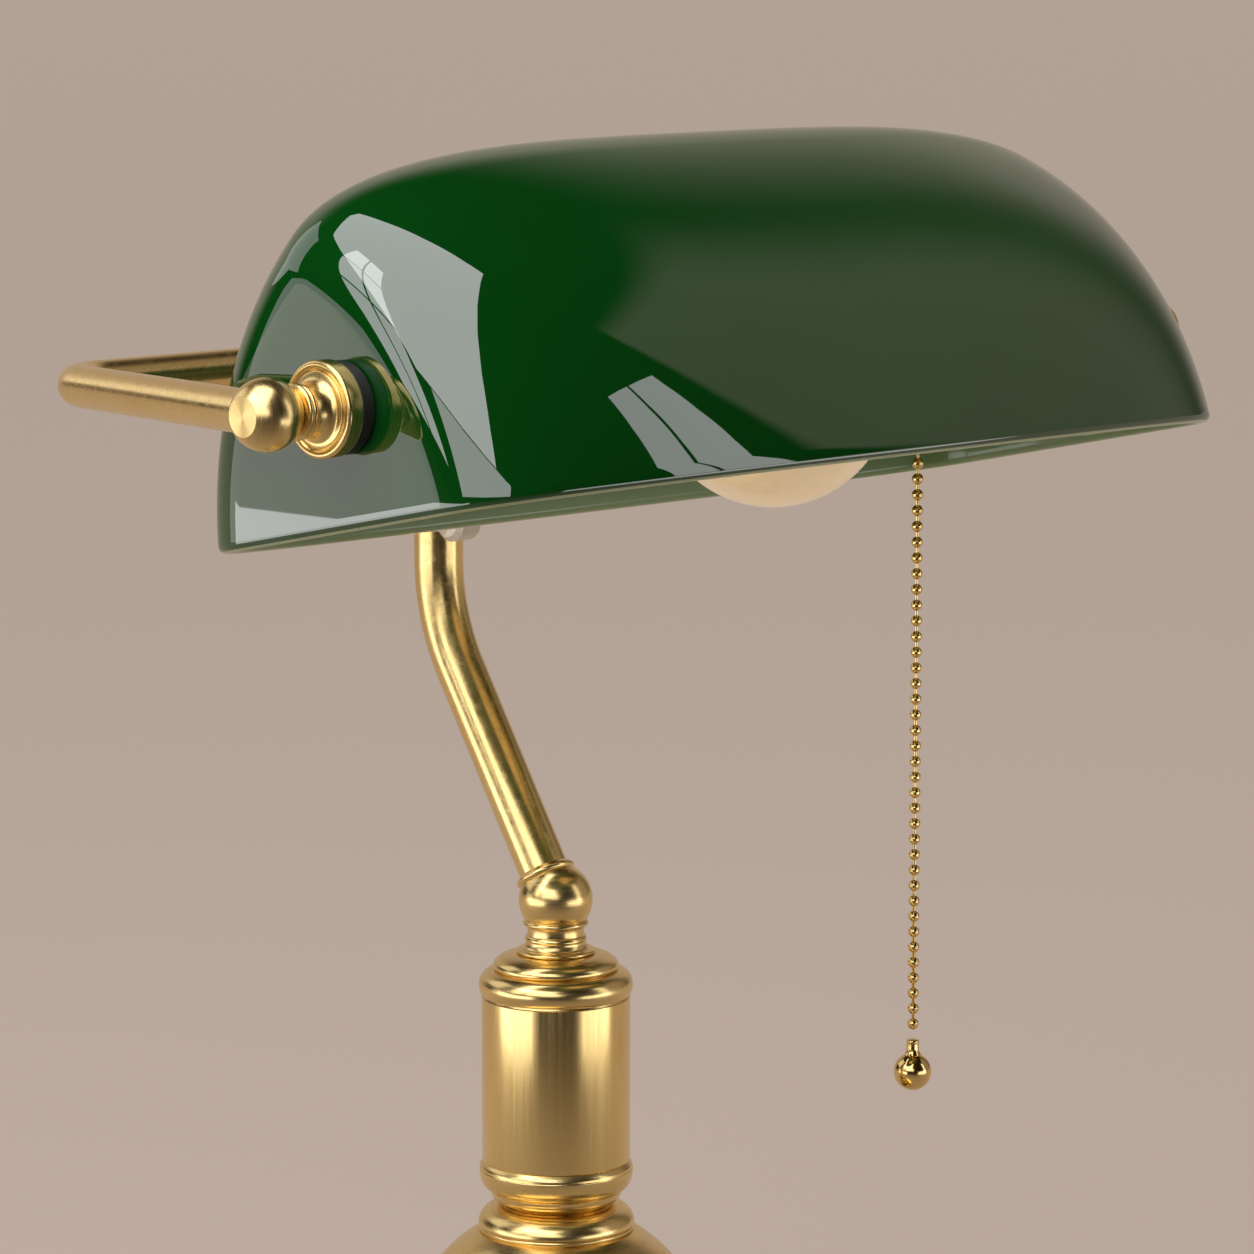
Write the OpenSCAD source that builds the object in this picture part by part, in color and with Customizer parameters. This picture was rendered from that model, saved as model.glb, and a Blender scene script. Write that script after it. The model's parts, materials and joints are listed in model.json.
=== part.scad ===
// Banker desk lamp: turned brass column, forward-set glass shade on a yoke, pull-chain holder.
// Origin: centre of the base underside. +X along the shade, -Y to the front, +Z up. Millimetres.

/* [Shade] */
// Outer length of the glass shade
shade_l = 272.9; // [260:0.1:280]
// Radius of the shade's crown arc
crown_r = 34.2; // [32:0.1:36]
// Radius of the shade's side arcs
side_r = 114; // [110:0.5:118]
// Half angle of the crown arc
crown_half = 33.5; // [31:0.5:35]
// Depth of the rim plane below the crown arc's centre
rim_drop = 57.4; // [55:0.1:60]
// Glass thickness
glass_t = 4; // [3:0.1:4.5]
// Resting tilt of the shade, front edge up
rest_tilt = 11.8; // [5:0.1:15]

/* [Pivots] */
// Height of the shade's pivot axis
pivot_z = 315; // [310:1:320]
// Set-forward of the pivot axis from the column
pivot_y = -70.6; // [-72:0.1:-69]
// Distance of the arch's middle plane behind the pivot
arch_back = 9.6; // [8:0.1:11]
// Height of the pivot above the rim plane
pivot_up = 29.2; // [28:0.1:31]
// Radius of the two yoke end balls
pivot_ball_r = 8.85; // [8.6:0.05:9.2]
// Radius of the hollow pivot studs
stud_r = 5; // [4.8:0.05:5]

/* [Yoke and arm] */
// Yoke tube outer radius
yoke_r = 5.4; // [5:0.1:5.6]
// Sideways distance of each yoke corner from the middle
yoke_corner_x = 128.3; // [126:0.1:130]
// Distance of the yoke's back bar behind the column axis
arm_y = 46; // [45:0.5:48]
// Arm tube outer radius
arm_r = 6.75; // [6.5:0.05:6.8]
// Centreline radius of the arm's bend
arm_bend_r = 55; // [40:1:60]
// Height at which the arm's two straight runs would meet
arm_corner_z = 238.8; // [232:0.1:244]
// Height of the elbow ball's centre
elbow_z = 166.4; // [166.4:0.1:166.8]
// Radius of the elbow ball
elbow_r = 10; // [9.8:0.1:10.5]

/* [Column and base] */
// Column sleeve outer radius
sleeve_r = 20.1; // [19:0.1:20.2]
// Top of the column sleeve
sleeve_top = 139.8; // [138:0.1:140]
// Base outer radius
base_r = 90; // [88:1:95]
// Radius of the base dome
dome_r = 42.2; // [42:0.1:43]
// Spun base wall thickness
wall = 1.6; // [1.2:0.1:1.8]

/* [Pull chain] */
// Sideways place of the chain
chain_x = 92.6; // [92:0.1:93]
// Front-to-back place of the hanging chain
chain_y = -46.6; // [-47:0.1:-46]
// Bead radius
bead_r = 1.6; // [1.5:0.05:1.65]
// Bead spacing
bead_pitch = 4.35; // [4.2:0.05:4.5]
// Radius of the ball at the end of the chain
chain_ball_r = 5.25; // [4.8:0.05:5.5]

/* [Hidden] */
$fn = 64;

brass = [0.80, 0.60, 0.28];
dark_brass = [0.62, 0.46, 0.22];
green_glass = [0.02, 0.28, 0.08];
ivory = [0.90, 0.84, 0.70];
black = [0.07, 0.07, 0.07];
iron = [0.25, 0.25, 0.26];
steel = [0.70, 0.70, 0.72];

gap = 0.05;             // radial play of a fitted bore
run_gap = 0.06;         // radial play of the running bore round a stud
free = 0.3;             // clearance between parts that move past each other
pipe_r = 5;             // threaded lamp pipe
pipe_bore = 3.8;
stud_bore = 3.4;
glass_x = shade_l / 2;  // outer end face of the glass
inner_x = glass_x - glass_t;
ball_x = glass_x + 24.35;
arm_lean = atan2(arm_y, arm_corner_z - elbow_z);
yoke_span = arm_y - pivot_y;
yoke_drop = 3.3;        // the back bar lies this much below the pivots
yoke_lean = -atan2(yoke_drop, yoke_span);
yoke_depth = sqrt(yoke_span * yoke_span + yoke_drop * yoke_drop);
yoke_bend_r = 16;
yoke_seat = 6.65;       // distance of the tube's end from the ball's centre
yoke_turn = 90 - atan2(ball_x - yoke_corner_x, yoke_depth);
bar_z = pivot_z - yoke_drop;
holder_z = pivot_z - 5.5;
flange_r = 11.75;
dome_z = 38.7;          // height of the base dome's centre
dome_top = 75;
bolt_z = 16;            // underside of the weight's boss, where the washer bears
cord_z = 8;             // height of the cord inlet
bushing_bore = 3.2;
lead_z = holder_z;      // height of the chain's inner run
top_bead_z = 307.2;
chain_beads = 41;
chain_ball_z = 111;
rotor_r = 5;
rotor_z = lead_z + rotor_r + bead_r + 0.1;

function arc(c, r, a0, a1, n = 8) =
  [for (i = [0:n]) let (a = a0 + (a1 - a0) * i / n) [c[0] + r * cos(a), c[1] + r * sin(a)]];
function oval(c, rx, ry, a0, a1, n = 8) =
  [for (i = [0:n]) let (a = a0 + (a1 - a0) * i / n) [c[0] + rx * cos(a), c[1] + ry * sin(a)]];
function reversed(p) = [for (i = [len(p) - 1:-1:0]) p[i]];

// Solid of revolution about the vertical axis; points are [radius, height]
module turned(points) rotate_extrude() polygon(points);

// Solid of revolution about a line along X; points are [radius, x]
module turned_x(points, y, z) translate([0, y, z]) rotate([0, 90, 0]) rotate_extrude() polygon(points);

// Straight round bar along X
module bar_x(r, x0, x1, y, z) translate([x0, y, z]) rotate([0, 90, 0]) cylinder(r = r, h = x1 - x0);

// Straight round bar along Y
module bar_y(r, y0, y1, x, z) translate([x, y0, z]) rotate([-90, 0, 0]) cylinder(r = r, h = y1 - y0);

// Ring on the pivot axis between two distances from the middle
module pivot_ring(r, bore, x0, x1) turned_x([[bore, x0], [r, x0], [r, x1], [bore, x1]], pivot_y, pivot_z);

// The right-hand child, or its mirror image on the left
module on_side(side) mirror([side < 0 ? 1 : 0, 0, 0]) children();

// Hexagonal nut along Z with a round bore
module hex_nut(across_r, h, bore) difference() {
  cylinder(r = across_r, h = h, $fn = 6);
  translate([0, 0, -1]) cylinder(r = bore, h = h + 2);
}

// ---------- base ----------

// Base profile at a depth t inside the outer surface, from the lower edge to the dome's top
function base_outline(t) = concat(
  [[base_r - t, 2]],
  arc([base_r - 3, 12], 3 - t, 0, 90, 4),
  oval([76, 33], 30 + t, 18 + t, 270, 180, 10),
  arc([43, 35.4], 3.4 - t, -45, 80, 6),
  arc([0, dome_z], dome_r - t, 2, asin((dome_top - t - dome_z) / (dome_r - t)), 10));

module felt_pad() color([0.10, 0.22, 0.13]) cylinder(r = 86, h = 2);

module base_weight() color(iron) difference() {
  union() {
    translate([0, 0, 2]) cylinder(r = 84, h = 10);
    translate([0, 0, 2]) cylinder(r = 24, h = 22);
  }
  translate([0, 0, 1]) cylinder(r = 14, h = bolt_z - 1);
  cylinder(r = pipe_r + gap, h = 40);
  translate([-14, 48, 1]) cube([28, 50, 12]);
  translate([-3, 0, 1]) cube([6, 50, 7]);
}

module base_shell() color(brass) difference() {
  turned(concat([[pipe_r + gap, dome_top - wall]], reversed(base_outline(wall)), base_outline(0),
    [[pipe_r + gap, dome_top]]));
  bar_y(4.6, base_r - 10, base_r + 5, 0, cord_z);
}

module cord_bushing() color(black) translate([0, 0, cord_z]) rotate([-90, 0, 0]) rotate_extrude()
  polygon([[bushing_bore, 85.5], [5.2, 85.5], [5.2, 87.5], [4.55, 87.5], [4.55, 90.4], [5.9, 90.4],
    [5.9, 91.6], [5.2, 92.4], [4, 92.6], [bushing_bore, 92]]);

module terminal_block() color(ivory) difference() {
  translate([-9, 56, 2]) cube([18, 14, 9]);
  for (x = [-4.5, 4.5]) {
    bar_y(2, 54, 72, x, 6.5);
    for (y = [59.5, 66.5]) translate([x, y, 7.5]) cylinder(r = 1.6, h = 5);
  }
}

module rod_nut() color(steel) translate([0, 0, bolt_z - 6.5]) hex_nut(9, 5, pipe_r + gap);

module rod_washer() color(steel) translate([0, 0, bolt_z - 1.5]) difference() {
  cylinder(r = 11, h = 1.5);
  translate([0, 0, -1]) cylinder(r = pipe_r + gap, h = 4);
}

module threaded_rod() color(dark_brass) translate([0, 0, 8]) difference() {
  cylinder(r = pipe_r, h = 155);
  translate([0, 0, -1]) cylinder(r = pipe_bore, h = 157);
}

// ---------- column ----------

module base_collar() color(brass) turned(concat(
  [[pipe_r + gap, dome_top], [20.7, dome_top]],
  arc([20.3, 75.8], 0.8, -60, 60, 4),
  [[20.4, 76.5]],
  oval([15, 76.8], 6.3, 5.4, 0, 90, 8),
  [[pipe_r + gap, 82.2]]));

module column_foot() color(brass) turned(concat(
  [[pipe_r + gap, 82.2], [14.2, 82.2], [14.6, 82.9]],
  oval([14.6, 86.2], 3.3, 3.3, -90, 0, 5),
  [[18.3, 86.5]],
  oval([18.3, 92.2], 2.6, 5.5, -85, 0, 8),
  oval([19.4, 92.4], 1.4, 1.9, 0, 50, 4),
  [[sleeve_r - 0.3, 94.6], [sleeve_r - 1.6, 94.6], [sleeve_r - 1.6, 99], [pipe_r + gap, 99]]));

module column_sleeve() color(brass) translate([0, 0, 94.6]) difference() {
  cylinder(r = sleeve_r, h = sleeve_top - 94.6);
  translate([0, 0, -1]) cylinder(r = sleeve_r - 1.5, h = 50);
}

module column_cap() color(brass) turned(concat(
  [[pipe_r + gap, 135], [sleeve_r - 1.6, 135], [sleeve_r - 1.6, sleeve_top], [20.3, sleeve_top]],
  oval([18.4, 143], 2.5, 3.4, -50, 0, 5),
  oval([17.2, 143], 3.7, 4.2, 0, 88, 8),
  [[16.3, 147.3]],
  arc([16.2, 148.1], 0.8, -50, 0, 3),
  oval([10.6, 148.2], 6.4, 3.5, 0, 90, 8),
  [[pipe_r + gap, 151.7]]));

module elbow_neck() color(brass) turned(concat(
  [[pipe_r + gap, 151.7]],
  arc([10.1, 152.3], 0.6, -90, 90, 6),
  [[9.3, 153]],
  oval([9.3, 155.2], 1.1, 2.1, 270, 180, 5),
  oval([7.6, 155.6], 0.8, 1.2, 0, 80, 4),
  [[7.6, 159]],
  arc([8, 160], 0.9, -70, 70, 6),
  [[8.4, 161.4], [pipe_r + gap, 161.4]]));

// Frame at the elbow ball with Z along the leaning arm
module along_arm() translate([0, 0, elbow_z]) rotate([-arm_lean, 0, 0]) children();

module elbow_ball() color(brass) difference() {
  translate([0, 0, elbow_z]) sphere(r = elbow_r);
  translate([-15, -15, 141.4]) cube([30, 30, 20]);
  translate([0, 0, 150]) cylinder(r = pipe_r + gap, h = elbow_z - 150);
  along_arm() translate([0, 0, 1]) cylinder(r = arm_r + gap, h = 20);
  along_arm() translate([-15, -15, 6]) cube([30, 30, 20]);
}

module arm_collar() color(brass) along_arm() turned(concat(
  [[arm_r + gap, 6], [7.9, 6]],
  arc([7.4, 7.2], 0.9, -30, 60, 5),
  [[7.3, 8.6], [arm_r + gap, 8.8]]));

// Tube along the arm's route: leaning run, bend and vertical run
module arm_run(r, start) {
  reach = arm_bend_r * tan(arm_lean / 2);
  lean_len = sqrt(arm_y * arm_y + pow(arm_corner_z - elbow_z, 2));
  along_arm() translate([0, 0, start]) cylinder(r = r, h = lean_len - reach - start);
  translate([0, arm_y - arm_bend_r, arm_corner_z + reach]) rotate([0, 90, 0]) rotate([0, 0, 90])
    rotate_extrude(angle = -arm_lean) translate([arm_bend_r, 0]) circle(r = r);
  translate([0, arm_y, arm_corner_z + reach]) cylinder(r = r, h = bar_z - 8 - arm_corner_z - reach);
}

module arm_tube() color(brass) difference() {
  arm_run(arm_r, 3);
  arm_run(arm_r - 1.2, 2.9);
  translate([0, arm_y, bar_z - 12]) cylinder(r = arm_r - 1.2, h = 10);
}

module arm_tee() color(brass) difference() {
  union() {
    bar_x(8, -13, 13, arm_y, bar_z);
    translate([0, arm_y, bar_z - 19]) cylinder(r = 8.6, h = 19);
  }
  bar_x(yoke_r + gap, -20, 20, arm_y, bar_z);
  translate([0, arm_y, bar_z - 25]) cylinder(r = arm_r + gap, h = 17);
  translate([0, arm_y, bar_z - 10]) cylinder(r = 4, h = 10);
  bar_y(2 + gap, arm_y + 3, arm_y + 12, 0, bar_z - 13.7);
}

module tee_screw() color(dark_brass) {
  bar_y(2, arm_y + arm_r + gap, arm_y + 9, 0, bar_z - 13.7);
  bar_y(3, arm_y + 8.7, arm_y + 10.4, 0, bar_z - 13.7);
}

module rim_bumper() color(ivory) difference() {
  union() {
    translate([0, arm_y, 263.4]) cylinder(r = 9.4, h = 8);
    turned_x([[0, -4.5], [4.3, -4.5], [5.7, -3.1], [5.7, 3.1], [4.3, 4.5], [0, 4.5]], arm_y - 8, 266.1);
  }
  translate([0, arm_y, 250]) cylinder(r = arm_r + gap, h = 30);
}

// ---------- yoke and pivots ----------

// Half of the yoke's route, from the middle of the back bar to the ball
module yoke_half(r, end_gap) {
  reach = yoke_bend_r * tan(yoke_turn / 2);
  arm_len = sqrt(pow(ball_x - yoke_corner_x, 2) + yoke_depth * yoke_depth);
  bar_x(r, 0, yoke_corner_x - reach, yoke_depth, 0);
  translate([yoke_corner_x - reach, yoke_depth - yoke_bend_r, 0]) rotate([0, 0, 90])
    rotate_extrude(angle = -yoke_turn) translate([yoke_bend_r, 0]) circle(r = r);
  translate([ball_x, 0, 0]) rotate([0, 0, 90 - yoke_turn]) rotate([-90, 0, 0])
    translate([0, 0, end_gap]) cylinder(r = r, h = arm_len - reach - end_gap);
}

// Frame on the pivot axis, leaned so that the back bar lies in its own plane
module yoke_plane() translate([0, pivot_y, pivot_z]) rotate([yoke_lean, 0, 0]) children();

module yoke_tube() color(brass) yoke_plane() difference() {
  for (side = [-1, 1]) on_side(side) yoke_half(yoke_r, yoke_seat);
  for (side = [-1, 1]) on_side(side) yoke_half(yoke_r - 1, yoke_seat - 1);
  translate([0, yoke_depth, -8]) cylinder(r = 3.6, h = 8);
}

module pivot_ball(side) color(brass) on_side(side) difference() {
  translate([ball_x, pivot_y, pivot_z]) rotate([0, 90, 0]) sphere(r = pivot_ball_r);
  translate([ball_x + 7.4, pivot_y - 10, pivot_z - 10]) cube([10, 20, 20]);
  translate([ball_x - 16.5, pivot_y - 10, pivot_z - 10]) cube([10, 20, 20]);
  bar_x(stud_r + gap, ball_x - 20, ball_x, pivot_y, pivot_z);
  yoke_plane() translate([ball_x, 0, 0]) rotate([0, 0, 90 - yoke_turn]) rotate([-90, 0, 0]) {
    cylinder(r = yoke_r - 1, h = 20);
    translate([0, 0, yoke_seat]) cylinder(r = yoke_r + gap, h = 20);
  }
}
module pivot_ball_left() pivot_ball(-1);
module pivot_ball_right() pivot_ball(1);

// Turned neck and flange between the ball and the glass; x is measured from the glass
module pivot_flange(side) color(brass) on_side(side) translate([glass_x, 0, 0]) turned_x(concat(
  [[stud_r + gap, 4], [flange_r - 0.6, 4]],
  arc([flange_r - 0.9, 4.9], 0.9, -30, 0, 2),
  arc([flange_r - 1, 8], 1, 0, 150, 6),
  [[9.4, 8.2], [9.1, 8.9], [8.3, 9.1]],
  oval([8.3, 13.5], 2.4, 4.4, 270, 180, 6),
  arc([5.9, 14.3], 0.7, -60, 60, 4),
  arc([6.1, 15.9], 0.8, -70, 70, 4),
  [[6, 16.75], [5.4, 17.1], [stud_r + gap, 17.1]]), pivot_y, pivot_z);
module pivot_flange_left() pivot_flange(-1);
module pivot_flange_right() pivot_flange(1);

module outer_washer(side) color(black) on_side(side)
  pivot_ring(11.25, stud_r + gap, glass_x + free, glass_x + 4);
module outer_washer_left() outer_washer(-1);
module outer_washer_right() outer_washer(1);

module inner_washer(side) color(black) on_side(side)
  pivot_ring(11, stud_r + gap, inner_x - 2.3, inner_x - free);
module inner_washer_left() inner_washer(-1);
module inner_washer_right() inner_washer(1);

module clamp_washer(side) color(brass) on_side(side)
  pivot_ring(10.5, stud_r + gap, inner_x - 3.5, inner_x - 2.3);
module clamp_washer_left() clamp_washer(-1);
module clamp_washer_right() clamp_washer(1);

module pivot_nut(side) color(brass) on_side(side)
  translate([inner_x - 8.5, pivot_y, pivot_z]) rotate([0, 90, 0]) hex_nut(9, 5, stud_r + gap);
module pivot_nut_left() pivot_nut(-1);
module pivot_nut_right() pivot_nut(1);

module pivot_stud(side, inner_end) color(dark_brass) on_side(side)
  pivot_ring(stud_r, stud_bore, inner_end, ball_x - 3.3);
module pivot_stud_left() pivot_stud(-1, inner_x - 10.5);
module pivot_stud_right() pivot_stud(1, inner_x - 15.5);

module glass_bush(side) color([0.85, 0.85, 0.82]) on_side(side)
  pivot_ring(6.2, stud_r + run_gap, inner_x, glass_x);
module glass_bush_left() glass_bush(-1);
module glass_bush_right() glass_bush(1);

// ---------- glass shade ----------

// Stations along the shade: its ends are superellipse quarters, so radius and place share an angle
shade_steps = concat([-89, -87], [for (a = [-84:6:84]) a], [87, 89]);
function station_x(a, l) = sign(a) * l / 2 * pow(sin(abs(a)), 2 / 3.6);
function station_r(a, r) = r * pow(cos(a), 2 / 2.6);

// Arch section with crown radius r, from the back rim over the crown to the front rim
side_steps = 12;
crown_steps = 10;
function arch_half(r, depth, sense) =
  let (core = side_r - crown_r, cy = core * sin(crown_half), cz = -core * cos(crown_half),
    reach = core + r, rim = acos((-depth - cz) / reach))
  [for (i = [0:side_steps - 1]) let (a = rim + (crown_half - rim) * i / side_steps)
    [sense * (reach * sin(a) - cy), cz + reach * cos(a)]];
function arch(r, depth) = concat(arch_half(r, depth, 1),
  [for (i = [0:crown_steps]) let (a = crown_half * (1 - 2 * i / crown_steps)) [r * sin(a), r * cos(a)]],
  reversed(arch_half(r, depth, -1)));

// One skin of the shade as rows of points, one row for each station
function skin(r, l, depth) = [for (a = shade_steps) let (x = station_x(a, l))
  each [for (q = arch(station_r(a, r), depth)) [x, q[0], q[1]]]];

// Two triangles of a four-sided patch
function patch(a, b, c, d) = [[a, b, c], [a, c, d]];

// Closed shell of glass between the outer and the inner skin
module shade_shell() {
  n = 2 * side_steps + crown_steps + 1;
  rows = len(shade_steps);
  inner = rows * n;
  last = (rows - 1) * n;
  polyhedron(
    points = concat(skin(crown_r, shade_l, rim_drop),
      skin(crown_r - glass_t, shade_l - 2 * glass_t, rim_drop)),
    faces = concat(
      [for (i = [0:rows - 2], k = [0:n - 2]) let (o = i * n + k) each patch(o, o + 1, o + n + 1, o + n)],
      [for (i = [0:rows - 2], k = [0:n - 2]) let (o = inner + i * n + k)
        each patch(o, o + n, o + n + 1, o + 1)],
      [[for (k = [n - 1:-1:0]) k], [for (k = [0:n - 1]) last + k]],
      [[for (k = [0:n - 1]) inner + k], [for (k = [n - 1:-1:0]) inner + last + k]],
      [for (i = [0:rows - 2]) let (o = i * n) each patch(o, o + n, inner + o + n, inner + o)],
      [for (i = [0:rows - 2]) let (o = i * n + n - 1) each patch(o, inner + o, inner + o + n, o + n)],
      patch(0, inner, inner + n - 1, n - 1),
      patch(last, last + n - 1, inner + last + n - 1, inner + last)));
}

module glass_shade() color(green_glass)
  translate([0, pivot_y, pivot_z]) rotate([-rest_tilt, 0, 0])
    difference() {
      translate([0, arch_back, rim_drop - pivot_up]) shade_shell();
      for (side = [-1, 1]) on_side(side) bar_x(6.25, inner_x - 3, glass_x + 3, 0, 0);
    }

// ---------- lamp holder ----------

module holder_bracket() color(brass) difference() {
  union() {
    translate([inner_x - 10.5, pivot_y - 8, pivot_z - 12]) cube([2, 16, 24]);
    translate([106, pivot_y - 8, holder_z - 12]) cube([2, 16, pivot_z + 12 - holder_z + 12]);
    translate([106, pivot_y - 8, pivot_z + 10]) cube([inner_x - 114.5, 16, 2]);
  }
  bar_x(stud_r + gap, inner_x - 12, inner_x - 6, pivot_y, pivot_z);
  bar_x(pipe_r + gap, 105, 109, pivot_y, holder_z);
}

module bracket_nut() color(brass)
  translate([inner_x - 15, pivot_y, pivot_z]) rotate([0, 90, 0]) hex_nut(8.4, 4.5, stud_r + gap);

module holder_nipple() color(dark_brass)
  turned_x([[stud_bore, 104.2], [pipe_r, 104.2], [pipe_r, 111.5], [stud_bore, 111.5]], pivot_y, holder_z);

module nipple_nut() color(brass)
  translate([108, pivot_y, holder_z]) rotate([0, 90, 0]) hex_nut(8, 3, pipe_r + gap);

module holder_cap() color(brass) turned_x(concat(
  [[16.3, 96], [17.1, 96], [17.1, 99]],
  oval([9, 99], 8.1, 7, 0, 90, 8),
  [[pipe_r + gap, 106], [pipe_r + gap, 105.2]],
  oval([9, 99], 7.3, 6.2, 90, 0, 8)), pivot_y, holder_z);

module holder_shell() color(brass) difference() {
  turned_x([[15.4, 58.5], [16.6, 58.5], [17, 59.3], [16.6, 60.1], [16.2, 60.6], [16.2, 98.5],
    [15.4, 98.5]], pivot_y, holder_z);
  bar_y(3.1, pivot_y, pivot_y + 20, chain_x, lead_z);
}

module holder_liner() color(ivory) difference() {
  turned_x([[14.4, 60], [15.3, 60], [15.3, 98.5], [14.4, 98.5]], pivot_y, holder_z);
  bar_y(3.1, pivot_y, pivot_y + 20, chain_x, lead_z);
}

// Insulating body with the switch cavity, the chain's way in and the rotor's bearings
module holder_body() color(black) difference() {
  turned_x([[0, 88.2], [14.3, 88.2], [14.3, 101.5], [12.6, 104], [0, 104]], pivot_y, holder_z);
  translate([chain_x - 3, pivot_y - 7, holder_z - 2.5]) cube([6, 14.5, 14.8]);
  bar_y(2.95, pivot_y + 7, pivot_y + 20, chain_x, lead_z);
  bar_x(1.45, chain_x - 4.2, chain_x + 5, pivot_y, rotor_z);
  bar_x(2.2, 99, 105, pivot_y, holder_z);
}

module switch_rotor() color(steel) {
  bar_x(rotor_r, chain_x - 1.5, chain_x + 1.5, pivot_y, rotor_z);
  bar_x(1.4, chain_x - 4, chain_x + 4.6, pivot_y, rotor_z);
}

module screw_shell() color(brass)
  turned_x([[13.6, 61], [14.1, 61], [14.1, 88.2], [8, 88.2], [8, 87.7], [13.6, 87.7]], pivot_y, holder_z);

module centre_contact() color(brass)
  turned_x([[0, 87.3], [3.6, 87.3], [3.6, 88.2], [0, 88.2]], pivot_y, holder_z);

// Bell-mouthed tube that turns the chain from the switch to its hanging line
module chain_guide() color(brass) translate([chain_x, pivot_y, lead_z]) rotate([-90, 0, 0]) rotate_extrude()
  polygon(concat([[2.1, 13.5], [2.85, 13.5], [2.85, 18.6]],
    oval([4.3, 18.6], 1.45, 1.8, 180, 90, 4), [[4.3, 21.2], [3.4, 21.2]],
    oval([3.4, 19], 1.3, 2.2, 90, 180, 4)));

// ---------- pull chain ----------

module bead(x, y, z) translate([x, y, z]) sphere(r = bead_r, $fn = 32);

module chain_lead() color(brass) {
  for (i = [0:2]) bead(chain_x, -50.3 - i * bead_pitch, lead_z);
  bar_y(0.5, -50.3 - 2 * bead_pitch, -50.3, chain_x, lead_z);
}

module chain_top_bead() color(brass) bead(chain_x, chain_y, top_bead_z);

module chain_second_bead() color(brass) {
  bead(chain_x, chain_y, top_bead_z - bead_pitch);
  translate([chain_x, chain_y, top_bead_z - bead_pitch]) cylinder(r = 0.5, h = bead_pitch - bead_r - free);
}

module pull_chain() color(brass) {
  first_z = top_bead_z - 2 * bead_pitch;
  for (i = [0:chain_beads - 1]) bead(chain_x, chain_y, first_z - i * bead_pitch);
  translate([chain_x, chain_y, chain_ball_z + 9.5])
    cylinder(r = 0.5, h = first_z + bead_pitch - bead_r - free - chain_ball_z - 9.5);
}

module chain_ball() color(brass) translate([chain_x, chain_y, chain_ball_z]) rotate_extrude()
  polygon(concat(arc([0, 0], chain_ball_r, -90, 72, 20),
    [[1.9, 5.6], [1.9, 9], [1.5, 9.5], [0, 9.5]]));

// ---------- bulb ----------

bulb_x = 10;            // centre of the bulb's round end
bulb_r = 31;
neck_arc = 40.6;        // radius of the neck's inward curve
neck_r = 14.2;

// Bulb profile at a depth t inside the outer surface, from the tip to the neck's end
function bulb_outline(t) = concat(
  [for (i = [0:20]) let (a = 130 * i / 20) [(bulb_r - t) * sin(a), bulb_x - (bulb_r - t) * cos(a)]],
  [for (i = [1:8]) let (b = 40 * (1 - i / 8))
    [neck_r + neck_arc - (neck_arc + t) * cos(b), 56 - (neck_arc + t) * sin(b)]]);

module bulb_glass() color(ivory) turned_x(concat(
  bulb_outline(0), [[13, 60], [12.3, 60.4], [12.3, 66], [11.5, 66], [11.5, 60]],
  reversed(bulb_outline(0.8))), pivot_y, holder_z);

// Screw cap with rounded thread ridges
module bulb_cap() color(steel) turned_x(concat(
  [[12.4, 60.7], [13.1, 60.7]],
  [for (i = [0:4], k = [0:3]) [12.9 + 0.3 * sin(90 * k), 63 + 3.2 * i + 0.8 * k]],
  [[12.6, 79.6], [10.5, 81.5], [9.6, 81.5], [12, 79.2], [12.4, 79]]), pivot_y, holder_z);

module bulb_insulator() color(black)
  turned_x([[4.6, 81.6], [10.4, 81.6], [6, 85.6], [4.6, 85.8]], pivot_y, holder_z);

module bulb_contact() color(steel)
  turned_x([[0, 81.6], [4.5, 81.6], [4.5, 86], [3, 87.2], [0, 87.2]], pivot_y, holder_z);

// ---------- lead ----------

wire_r = 1.4;
// Route of the inner lead, from the terminal block to the holder
wire_points = [[0, 55.6, 5], [0, 44, 4.4], [0, 28, 4.4], [0, 12, 4.4], [0, 4, 4.8], [0, 1, 7],
  [0, 0, 12], [0, 0, 40], [0, 0, 80], [0, 0, 120], [0, 0, 155], [0, 1, 164], [0, 8, 178.6],
  [0, 24, 204], [0, 37, 225], [0, 43.5, 240], [0, 46, 256], [0, 46, 280], [0, 46, 302],
  [1.5, 46, 309], [8, 46, 312], [30, 46, 311.7], [60, 46, 311.7], [90, 46, 311.7],
  [112, 46, 311.7], [123, 43.5, 311.7], [130, 35.5, 312], [137, 14, 312.6], [145, -14, 313.4],
  [152, -40, 314.1], [157.5, -60, 314.7], [159, -67.5, 314.8], [156, -70.6, 314.9],
  [150, -70.6, 314.6], [135, -70.6, 314], [120, -70.6, 313.8], [115, -70.6, 312.6],
  [111, -70.6, 310.9], [106, -70.6, 309.9], [99.5, -70.6, 309.5]];

function curve_point(p, i, t) =
  let (a = p[max(i - 1, 0)], b = p[i], c = p[i + 1], d = p[min(i + 2, len(p) - 1)])
  0.5 * (2 * b + (c - a) * t + (2 * a - 5 * b + 4 * c - d) * t * t + (3 * b - a - 3 * c + d) * t * t * t);
function smooth_route(p, steps) =
  concat([for (i = [0:len(p) - 2], k = [0:steps - 1]) curve_point(p, i, k / steps)], [p[len(p) - 1]]);
function unit(v) = v / norm(v);
function ring(p, i, r, n) =
  let (way = unit(p[min(i + 1, len(p) - 1)] - p[max(i - 1, 0)]),
    side = unit(cross(way, [1, 1, 1])), up = cross(way, side))
  [for (k = [0:n - 1]) p[i] + r * (side * cos(360 * k / n) + up * sin(360 * k / n))];

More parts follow.
